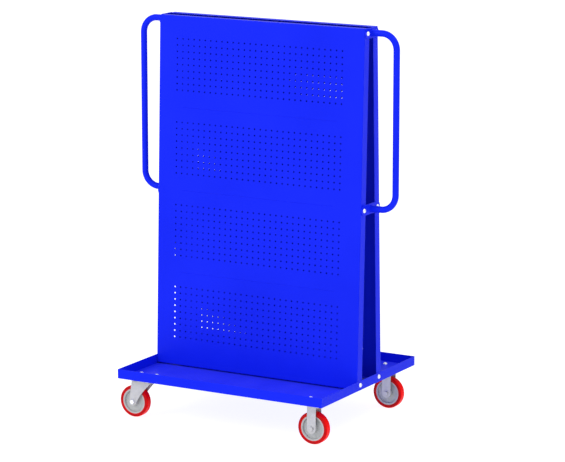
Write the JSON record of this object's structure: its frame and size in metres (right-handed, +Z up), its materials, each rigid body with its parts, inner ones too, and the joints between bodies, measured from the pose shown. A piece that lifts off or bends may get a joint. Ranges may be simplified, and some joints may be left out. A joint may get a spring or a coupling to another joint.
{
  "type": "mobile pegboard display stand",
  "caption": "Double-sided perforated sheet-steel display stand leaning together on a rimmed tray, with tube push handles, two swivel and two rigid castors.",
  "frame": {"origin": "on the floor under the middle of the stand, with the wheels resting on z = 0", "axes": "+Z up; X along the width of the panels, with the swivel castors at -X; Y from the front (-Y) to the back"},
  "size_m": [1.138, 0.754, 1.544],
  "materials": {
    "blue_paint": "smooth glossy powder coat",
    "zinc_steel": "bright zinc plate",
    "castor_steel": "satin grey zinc finish",
    "hub_nylon": "moulded, satin",
    "bearing_nylon": "moulded, smooth",
    "red_polyurethane": "smooth, glossy"
  },
  "bodies": {
    "stand": {"back_left_castor_plate": "castor_steel", "back_left_king_bolt": "zinc_steel", "back_left_king_nut": "zinc_steel", "back_left_swivel_balls": "zinc_steel", "back_panel": "blue_paint", "back_right_axle_bolt": "castor_steel", "back_right_axle_nut": "castor_steel", "back_right_axle_sleeve": "zinc_steel", "back_right_bracket": "castor_steel", "base_tray": "blue_paint", "castor_bolts": "zinc_steel", "castor_nuts": "zinc_steel", "castor_washers": "zinc_steel", "front_left_castor_plate": "castor_steel", "front_left_king_bolt": "zinc_steel", "front_left_king_nut": "zinc_steel", "front_left_swivel_balls": "zinc_steel", "front_panel": "blue_paint", "front_right_axle_bolt": "castor_steel", "front_right_axle_nut": "castor_steel", "front_right_axle_sleeve": "zinc_steel", "front_right_bracket": "castor_steel", "left_handle": "blue_paint", "left_lower_strap": "blue_paint", "left_upper_strap": "blue_paint", "right_handle": "blue_paint", "right_lower_strap": "blue_paint", "right_upper_strap": "blue_paint", "rim_bolts": "zinc_steel", "rim_nuts": "zinc_steel", "strap_bolts": "zinc_steel", "strap_nuts": "zinc_steel"},
    "front_left_swivel": {"front_left_axle_bolt": "zinc_steel", "front_left_axle_nut": "zinc_steel", "front_left_axle_sleeve": "zinc_steel", "front_left_fork": "castor_steel"},
    "back_left_swivel": {"back_left_axle_bolt": "zinc_steel", "back_left_axle_nut": "zinc_steel", "back_left_axle_sleeve": "zinc_steel", "back_left_fork": "castor_steel"},
    "front_left_wheel": {"front_left_tyre": "red_polyurethane", "front_left_wheel_bearing": "bearing_nylon", "front_left_wheel_hub": "hub_nylon"},
    "back_left_wheel": {"back_left_tyre": "red_polyurethane", "back_left_wheel_bearing": "bearing_nylon", "back_left_wheel_hub": "hub_nylon"},
    "front_right_wheel": {"front_right_tyre": "red_polyurethane", "front_right_wheel_bearing": "bearing_nylon", "front_right_wheel_hub": "hub_nylon"},
    "back_right_wheel": {"back_right_tyre": "red_polyurethane", "back_right_wheel_bearing": "bearing_nylon", "back_right_wheel_hub": "hub_nylon"}
  },
  "joints": [
    {"name": "front_left_castor_swivel", "type": "hinge", "parent": "stand", "child": "front_left_swivel", "pos_m": [-0.377, -0.302, 0.152], "axis": [0, 0, 1], "continuous": true},
    {"name": "back_left_castor_swivel", "type": "hinge", "parent": "stand", "child": "back_left_swivel", "pos_m": [-0.377, 0.302, 0.152], "axis": [0, 0, 1], "continuous": true},
    {"name": "front_left_wheel_spin", "type": "hinge", "parent": "front_left_swivel", "child": "front_left_wheel", "pos_m": [-0.418, -0.302, 0.0625], "axis": [0, 1, 0], "continuous": true},
    {"name": "back_left_wheel_spin", "type": "hinge", "parent": "back_left_swivel", "child": "back_left_wheel", "pos_m": [-0.418, 0.302, 0.0625], "axis": [0, 1, 0], "continuous": true},
    {"name": "front_right_wheel_spin", "type": "hinge", "parent": "stand", "child": "front_right_wheel", "pos_m": [0.377, -0.302, 0.0625], "axis": [0, 1, 0], "continuous": true},
    {"name": "back_right_wheel_spin", "type": "hinge", "parent": "stand", "child": "back_right_wheel", "pos_m": [0.377, 0.302, 0.0625], "axis": [0, 1, 0], "continuous": true}
  ]
}
